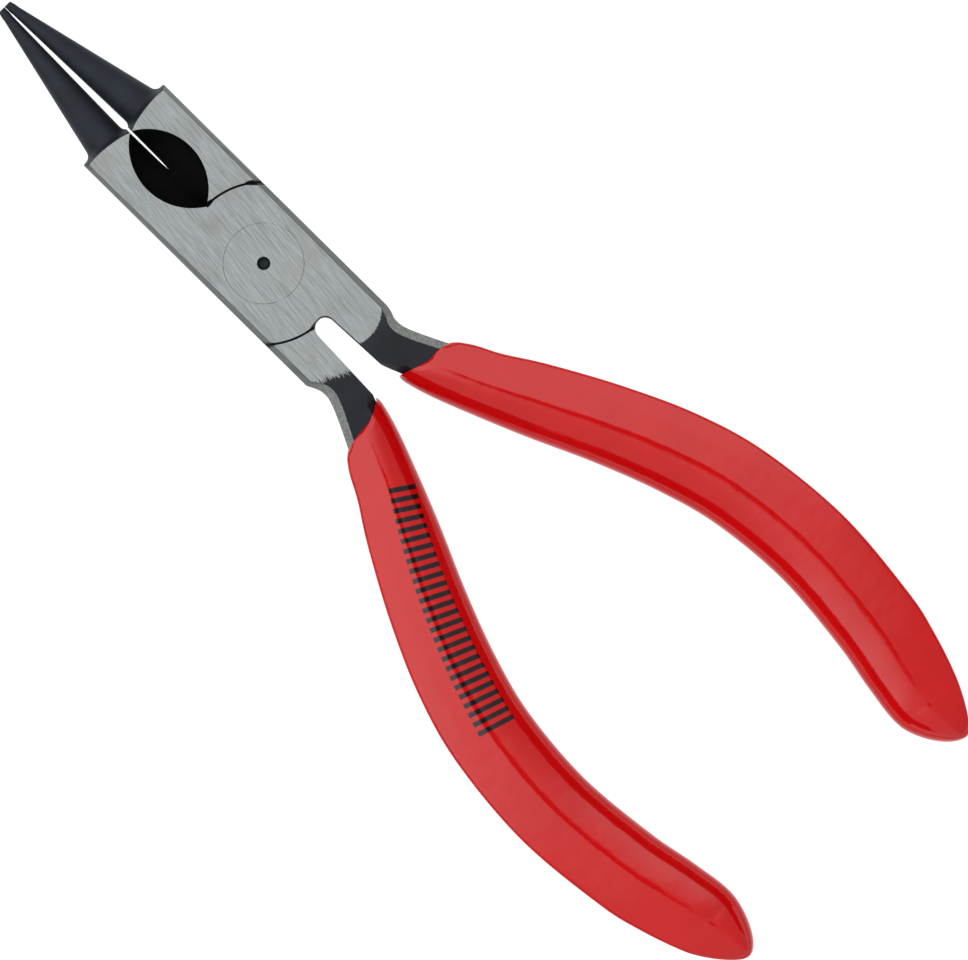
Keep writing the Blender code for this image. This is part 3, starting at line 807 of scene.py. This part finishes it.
# Painted shade: the recess is blackened steel painted darker still for the shade in its hollow
RECESS_BLACK_SHADED = (0.002, 0.002, 0.0022, 1)
RECESS_BLACK_SHADED_PALER = (0.006, 0.006, 0.0066, 1)
# Painted shade: the milled faces inside the joint are painted dark for the shade between the halves
LAP_SHADED_COLOR = (0.05, 0.052, 0.055, 1)
LAP_SHADED_PALER = (0.12, 0.122, 0.125, 1)
MARKS_FADE = (0.64, 0.37)         # grinding marks to the darker grey
MARKS_ROUGHNESS = (0.3, 0.7, 0.44, 0.34)
HAIR_STRETCH = (2.6, 0.07)        # along and across the grain, in millimetres
STREAK_STRETCH = (6.0, 0.45)
HAIR_SHARE = 0.76                 # of the grinding marks; streaks are the rest
FRAY_STRETCH = (4.0, 0.11)
NECK_BLEND = (-8.0, 8.0)          # along X, from the necks' black to the jaws'
NECK_SIDE_BLEND = (-12.6, -15.0)  # along X, from the joint's sides to the necks'

# Noises: scale per millimetre, detail, roughness
HAIR_NOISE = (1.0, 2.0, 0.7)
STREAK_NOISE = (1.0, 2.0, 0.6)
FRAY_NOISE = (1.0, 3.0, 0.65)
TINT_NOISE = (0.22, 2.0, 0.5)
RING_NOISE = (0.45, 1.0, 0.5)
SEAM_SHADOW_NOISE = (3.0, 2.0, 0.6)
PATCH_NOISE = (0.35, 4.0, 0.6)
FORGED_NOISE = (5.0, 3.0, 0.6)
SIDE_NOISE = (3.6, 3.0, 0.75)
SIDE_STAIN_NOISE = (0.16, 2.0, 0.5)
RECESS_MOTTLE_NOISE = (1.2, 3.0, 0.6)
LAP_MOTTLE_NOISE = (2.5, 2.0, 0.5)

# Where a noise is turned into a share, from none to all of it
TINT_RANGE = (0.5, 0.72)
RING_RANGE = (0.36, 0.50)
PATCH_RANGE = (0.35, 0.7)
SIDE_STAIN_RANGE = (0.56, 0.66)
SIDE_GRAIN_RANGE = (0.62, 0.35, 0.0, 0.5)
NECK_GRAIN_RANGE = (0.40, 0.60)

# Heights of the relief, in millimetres
MARKS_HEIGHT = 0.006
SIDE_HEIGHT = 0.01
FORGED_HEIGHT = 0.004


def scratches(shader, place):
    """Fine grinding marks from 0 to 1: hair lines over broader streaks."""
    hair = shader.noise(shader.grain_place(place, *HAIR_STRETCH), *HAIR_NOISE)
    streak = shader.noise(shader.grain_place(place, *STREAK_STRETCH), *STREAK_NOISE)
    return shader.math("ADD", shader.math("MULTIPLY", hair, HAIR_SHARE),
                       shader.math("MULTIPLY", streak, 1 - HAIR_SHARE))


def from_point(shader, axes, x, y):
    """Distance in plan from a point to the place."""
    dx = shader.math("SUBTRACT", axes[0], x)
    dy = shader.math("SUBTRACT", axes[1], y)
    return shader.math("SQRT", shader.math("ADD", shader.math("MULTIPLY", dx, dx),
                                           shader.math("MULTIPLY", dy, dy)))


def lap_seam_shadow(shader, place, axes):
    """1 where shade is painted along the lap seams' ends, at the joint's sides, the recess and the
    slot.
    """
    shift = shader.math("MULTIPLY", shader.math("LESS_THAN", axes[0], 0.0), SEAM_SHADOW_REAR_SHIFT)
    off_middle = shader.math("SUBTRACT", shader.math("ABSOLUTE", axes[1]), shift)
    side_reach = shader.ramp(off_middle, *SEAM_SHADOW_SIDE)
    middle_reach = shader.ramp(off_middle, *SEAM_SHADOW_MIDDLE)
    reach = shader.math("MAXIMUM", side_reach, middle_reach)
    off_seam = shader.math("SUBTRACT", from_point(shader, axes, 0.0, 0.0), (DISC_R + POCKET_R) / 2)
    shadow_ragged = shader.math("MULTIPLY", shader.noise(place, *SEAM_SHADOW_NOISE), SEAM_SHADOW_RAGGED)
    off_reach = shader.math("SUBTRACT", shader.math("ABSOLUTE", off_seam), reach)
    off_shadow_edge = shader.math("ADD", off_reach, shadow_ragged)
    above = shader.math("SUBTRACT", axes[2], MID)
    corner = shader.math("MULTIPLY", shader.math("MULTIPLY", axes[0], axes[1]), above)
    return shader.math("MULTIPLY", shader.ramp(off_shadow_edge, *SEAM_SHADOW_FADE),
                       shader.math("LESS_THAN", corner, 0.0))


def ground_colour(shader, place, marks):
    """Grey ground face, stained here and there, with a faint seam round the rivet and painted shade
    along the lap seams' ends.
    """
    soft = shader.noise(place, *TINT_NOISE)
    tinted = shader.mix(shader.ramp(soft, *TINT_RANGE), GROUND_COLOR, GROUND_TINT)
    axes = shader.split(place)
    off_stain = shader.math("ADD", from_point(shader, axes, *STAIN_CENTRE), soft)
    tinted = shader.mix(shader.ramp(off_stain, *STAIN_FADE), tinted, STAIN_COLOR)
    marked = shader.mix(shader.ramp(marks, *MARKS_FADE), tinted, GROUND_SHADE)
    off_seam = shader.math("SUBTRACT", from_point(shader, axes, 0.0, 0.0), RIVET_HEAD_R)
    seam = shader.ramp(shader.math("ABSOLUTE", off_seam), *SEAM_FADE)
    broken = shader.ramp(shader.noise(place, *RING_NOISE), *RING_RANGE)
    ringed = shader.mix(shader.math("MULTIPLY", seam, broken), marked, SEAM_COLOR)
    # painted shade along the lap seams' ends, mixed over the ground colour
    return shader.mix(lap_seam_shadow(shader, place, axes), ringed, SEAM_SHADOW_COLOR)


def black_colour(shader, place):
    """Blackened steel, a little paler on the jaws than on the necks."""
    patch = shader.ramp(shader.noise(place, *PATCH_NOISE), *PATCH_RANGE)
    jaw = shader.mix(patch, JAW_SHADE, JAW_COLOR)
    neck = shader.mix(patch, NECK_SHADE, NECK_COLOR)
    return shader.mix(shader.ramp(shader.split(place)[0], *NECK_BLEND), neck, jaw)


def ground_steel(name, border):
    """Flat ground steel, giving way to the black neck behind a ragged border."""
    material, shader, surface = new_material(name)
    place = shader.place()
    marks = scratches(shader, place)
    bright = ground_colour(shader, place, marks)
    surface.inputs["Anisotropic"].default_value = 0.4
    if border:
        fray = shader.noise(shader.grain_place(place, *FRAY_STRETCH), *FRAY_NOISE)
        edge = border(shader, place, fray)
        dark = black_colour(shader, place)
        shader.link(shader.mix(edge, dark, bright), surface.inputs["Base Color"])
        shader.link(shader.ramp(edge, 0.0, 1.0, 0.3, 1.0), surface.inputs["Metallic"])
    else:
        shader.link(bright, surface.inputs["Base Color"])
        surface.inputs["Metallic"].default_value = 1.0
    shader.link(shader.ramp(marks, *MARKS_ROUGHNESS), surface.inputs["Roughness"])
    shader.link(shader.bump(marks, MARKS_HEIGHT), surface.inputs["Normal"])
    return material


UPPER_BORDER_CENTRE = (-9.55, -2.55)
UPPER_BORDER_R = (5.02, 4.94)     # fades from black to ground over these radii
UPPER_BORDER_FRAY = 0.5
UPPER_BORDER_AHEAD = (-12.2, -12.1)       # all of it is ground in front of here
LOWER_BORDER_SLANT = 0.483
LOWER_BORDER_FRAY = 3.0
LOWER_BORDER_X = (-14.30, -14.20)


def upper_border(shader, place, fray):
    """The upper half's ground face ends in a clean round edge. 1 is ground."""
    axes = shader.split(place)
    radius = from_point(shader, axes, *UPPER_BORDER_CENTRE)
    ragged = shader.math("MULTIPLY_ADD", fray, UPPER_BORDER_FRAY)
    inside = shader.ramp(shader.math("ADD", radius, ragged), *UPPER_BORDER_R)
    ahead = shader.ramp(axes[0], *UPPER_BORDER_AHEAD)
    return shader.math("MAXIMUM", inside, ahead)


def lower_border(shader, place, fray):
    """The lower half's ground face frays out along the grinding marks. 1 is ground."""
    axes = shader.split(place)
    slant = shader.math("MULTIPLY", axes[1], LOWER_BORDER_SLANT)
    along = shader.math("SUBTRACT", axes[0], slant)
    ragged = shader.math("MULTIPLY", fray, LOWER_BORDER_FRAY)
    return shader.ramp(shader.math("ADD", along, ragged), *LOWER_BORDER_X)


def side_steel():
    """The bevelled sides: plain ground ahead, painted darker there as the shade of their slope,
    grainier behind the joint.
    """
    material, shader, surface = new_material("side_steel")
    place = shader.place()
    grain = shader.noise(place, *SIDE_NOISE)
    stain = shader.ramp(shader.noise(place, *SIDE_STAIN_NOISE), *SIDE_STAIN_RANGE)
    axes = shader.split(place)
    neck = shader.ramp(axes[0], *NECK_SIDE_BLEND)
    shade = shader.math("MAXIMUM", stain, shader.ramp(grain, *SIDE_GRAIN_RANGE))
    ahead = shader.mix(shade, SIDE_COLOR, SIDE_SHADE)
    behind = shader.mix(shader.ramp(grain, *NECK_GRAIN_RANGE), NECK_SIDE_SHADE, NECK_SIDE_COLOR)
    steel = shader.mix(neck, ahead, behind)
    # painted shade along the lap seams' ends
    shader.link(shader.mix(lap_seam_shadow(shader, place, axes), steel, SEAM_SHADOW_COLOR), surface.inputs["Base Color"])
    surface.inputs["Metallic"].default_value = 1.0
    surface.inputs["Roughness"].default_value = 0.42
    shader.link(shader.bump(grain, SIDE_HEIGHT), surface.inputs["Normal"])
    return material


def black_steel():
    """Blackened forging on the jaws and the necks."""
    material, shader, surface = new_material("black_steel")
    place = shader.place()
    shader.link(black_colour(shader, place), surface.inputs["Base Color"])
    surface.inputs["Metallic"].default_value = 0.3
    surface.inputs["Roughness"].default_value = 0.60
    surface.inputs["Specular IOR Level"].default_value = 0.35
    fine = shader.noise(place, *FORGED_NOISE)
    shader.link(shader.bump(fine, FORGED_HEIGHT), surface.inputs["Normal"])
    return material


def recess_steel():
    """The hollow over the cutting edges: blackened, and painted darker still with little gloss for the
    shade inside the hollow.
    """
    material, shader, surface = new_material("recess_steel")
    place = shader.place()
    recess_mottle = shader.noise(place, *RECESS_MOTTLE_NOISE)
    shader.link(shader.mix(recess_mottle, RECESS_BLACK_SHADED, RECESS_BLACK_SHADED_PALER), surface.inputs["Base Color"])
    surface.inputs["Metallic"].default_value = 0.0
    surface.inputs["Roughness"].default_value = 0.7
    surface.inputs["Specular IOR Level"].default_value = 0.06
    return material


def lap_steel():
    """Milled faces inside the joint, painted dark for the shade between the two halves."""
    material, shader, surface = new_material("lap_steel")
    place = shader.place()
    lap_mottle = shader.noise(place, *LAP_MOTTLE_NOISE)
    shader.link(shader.mix(lap_mottle, LAP_SHADED_COLOR, LAP_SHADED_PALER), surface.inputs["Base Color"])
    surface.inputs["Metallic"].default_value = 1.0
    surface.inputs["Roughness"].default_value = 0.5
    return material


# ---------------------------------------------------------------- vinyl

VINYL_COLOR = (0.60, 0.0020, 0.0030, 1)
VINYL_SHADE = (0.57, 0.0018, 0.0027, 1)
VINYL_GLOSS = (0.27, 0.48, 0.5, 0.08)    # the gloss dies away where the skin turns from view
INK_COLOR = (0.012, 0.006, 0.008, 1)
CLOUD_NOISE = (0.18, 2.0, 0.5)
CLOUD_RANGE = (0.35, 0.65)
WAVE_NOISE = (0.5, 3.0, 0.5)
WAVE_HEIGHT = 0.03


def vinyl(name, printed):
    """Glossy dipped vinyl, with a row of plain bars on one of the grips."""
    material, shader, surface = new_material(name)
    place = shader.place()
    cloud = shader.noise(place, *CLOUD_NOISE)
    colour = shader.mix(shader.ramp(cloud, *CLOUD_RANGE), VINYL_SHADE, VINYL_COLOR)
    if printed:
        colour = shader.mix(bar_print(shader, place), colour, INK_COLOR)
    shader.link(colour, surface.inputs["Base Color"])
    surface.inputs["Roughness"].default_value = 0.12
    surface.inputs["IOR"].default_value = 1.5
    turned_away = shader.node("ShaderNodeLayerWeight")
    turned_away.inputs["Blend"].default_value = 0.5
    gloss = shader.ramp(turned_away.outputs["Facing"], *VINYL_GLOSS)
    shader.link(gloss, surface.inputs["Specular IOR Level"])
    wave = shader.noise(place, *WAVE_NOISE)
    shader.link(shader.bump(wave, WAVE_HEIGHT), surface.inputs["Normal"])
    return material


# The print: bars of one width and pitch, set round an arc that follows the lower grip
PRINT_CENTRE = (-81.2, -70.5)
PRINT_START = 55.4
PRINT_SWEEP = 17.0
PRINT_BARS = 26
PRINT_BAR_SHARE = 0.52
PRINT_NEAR = (92.4, 90.6)         # radius of the bars' near ends, first to last
PRINT_FAR = (95.4, 94.9)
PRINT_BLUR = 0.06
PRINT_END_BLUR = 0.001            # as a share of the row's length
PRINT_LEVEL = 0.1                 # only above mid thickness, on the upper side


def along_row(shader, share, first, last):
    """A radius that goes from its first value to its last along the row of bars."""
    return shader.math("ADD", first, shader.math("MULTIPLY", share, last - first))


def bar_print(shader, place):
    """1 on a bar, 0 elsewhere."""
    axes = shader.split(place)
    across = shader.math("SUBTRACT", axes[0], PRINT_CENTRE[0])
    along = shader.math("SUBTRACT", axes[1], PRINT_CENTRE[1])
    angle = shader.math("DEGREES", shader.math("ARCTAN2", along, across))
    share = shader.math("DIVIDE", shader.math("SUBTRACT", angle, PRINT_START), PRINT_SWEEP)
    radius = from_point(shader, axes, *PRINT_CENTRE)
    near = along_row(shader, share, *PRINT_NEAR)
    far = along_row(shader, share, *PRINT_FAR)
    wave = shader.math("PINGPONG", shader.math("MULTIPLY", share, PRINT_BARS - 1.0), 0.5)
    edge = PRINT_BAR_SHARE / 2
    mask = shader.ramp(wave, edge + PRINT_BLUR, edge - PRINT_BLUR)
    half_bar = PRINT_BAR_SHARE / PRINT_BARS
    for value, low, high in ((share, -half_bar, -half_bar + PRINT_END_BLUR),
                             (share, 1 + half_bar, 1 + half_bar - PRINT_END_BLUR),
                             (shader.math("SUBTRACT", radius, near), -PRINT_BLUR, PRINT_BLUR),
                             (shader.math("SUBTRACT", radius, far), PRINT_BLUR, -PRINT_BLUR),
                             (axes[2], MID, MID + PRINT_LEVEL)):
        mask = shader.math("MULTIPLY", mask, shader.ramp(value, low, high))
    return mask


# ---------------------------------------------------------------- stage

FLOOR_SIZE = 1500.0
FLOOR_LEVEL = -0.06
FLOOR_COLOR = (0.15, 0.15, 0.15, 1)
FLOOR_GLOW = 0.98

# The tent, in degrees off the zenith and in shares of the way to each side
OPENING = (4.5, 8.0)
HORIZON_EDGE = (66.0, 63.0)
REAR_DROP = (-0.36, -0.56, 0.0, 28.0)     # behind the handles the dome comes down this far
NOSE_LIGHT = (-0.13, 0.13, 0.60, 1.70)
SIDE_LIGHT = (-0.3, 0.3, -0.14, 0.14)
LEAST_LIGHT = 0.03


def make_floor():
    bm = bmesh.new()
    bmesh.ops.create_grid(bm, x_segments=1, y_segments=1, size=FLOOR_SIZE)
    for vert in bm.verts:
        vert.co.z = FLOOR_LEVEL
    material, shader, surface = new_material("pale_floor")
    surface.inputs["Base Color"].default_value = FLOOR_COLOR
    surface.inputs["Roughness"].default_value = 1.0
    surface.inputs["Specular IOR Level"].default_value = 0.0
    surface.inputs["Emission Color"].default_value = (1, 1, 1, 1)
    surface.inputs["Emission Strength"].default_value = FLOOR_GLOW
    floor = new_object("floor", bm, [material])


def light_tent():
    """A bright dome round a dark opening overhead, with a dark band above a pale horizon."""
    world = bpy.data.worlds.new("light_tent")
    world.use_nodes = True
    bpy.context.scene.world = world
    shader = Shader(world)
    coordinates = shader.node("ShaderNodeTexCoord")
    axes = shader.split(coordinates.outputs["Generated"])
    off_zenith = shader.math("DEGREES", shader.math("ARCCOSINE", axes[2]))
    opening = shader.ramp(off_zenith, *OPENING)
    rear = shader.ramp(axes[0], *REAR_DROP)
    edge = shader.ramp(shader.math("SUBTRACT", off_zenith, rear), *HORIZON_EDGE)
    from_nose = shader.ramp(axes[0], *NOSE_LIGHT)
    from_side = shader.ramp(axes[1], *SIDE_LIGHT)
    dome = shader.math("MULTIPLY", shader.math("ADD", from_nose, from_side), edge)
    total = shader.math("ADD", shader.math("MULTIPLY", opening, dome), LEAST_LIGHT)
    background = shader.nodes["Background"]
    shader.link(total, background.inputs["Strength"])
    background.inputs["Color"].default_value = (1, 1, 1, 1)


def make_camera():
    data = bpy.data.cameras.new("camera")
    data.lens = LENS
    data.sensor_width = SENSOR
    distance = VIEW_WIDTH * LENS / SENSOR
    data.clip_start = 0.1
    data.clip_end = 20.0
    camera = bpy.data.objects.new("camera", data)
    camera.location = Vector((VIEW_CENTRE[0], VIEW_CENTRE[1], MID + distance)) * MM
    camera.rotation_euler = (0, 0, VIEW_TURN)
    bpy.context.scene.collection.objects.link(camera)
    bpy.context.scene.camera = camera
    bpy.context.scene.view_settings.view_transform = "Standard"


# ---------------------------------------------------------------- assembly

def keep(obj, node, body):
    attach(obj, body)
    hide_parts(node)


def main():
    make_camera()
    light_tent()
    make_floor()
    finishes = {"side": side_steel(), "black": black_steel(), "recess": recess_steel(),
                "lap": lap_steel()}
    upper = make_half("upper_half_steel", SLOT_SHIFT, LEAN_UPPER, finishes,
                      ground_steel("ground_steel_upper", upper_border), False)
    lower = make_half("lower_half_steel", -SLOT_SHIFT, LEAN_LOWER, finishes,
                      ground_steel("ground_steel_lower", lower_border), True)
    rivet = make_rivet(ground_steel("ground_rivet", None), finishes["black"])
    upper_grip = make_grip("upper_grip", GRIP_END_UPPER, END_CORNER_UPPER, LEAN_UPPER, MOUTH_UPPER,
                           vinyl("vinyl", False), False)
    lower_grip = make_grip("lower_grip", GRIP_END_LOWER, END_CORNER_LOWER, LEAN_LOWER, MOUTH_LOWER,
                           vinyl("printed_vinyl", True), True)
    keep(upper, "half_a", "upper_half")
    keep(lower, "half_b", "lower_half")
    keep(rivet, "pivot_rivet", "lower_half")
    keep(upper_grip, "grip_a", "upper_half")
    keep(lower_grip, "grip_b", "lower_half")


main()
bpy.context.view_layer.update()
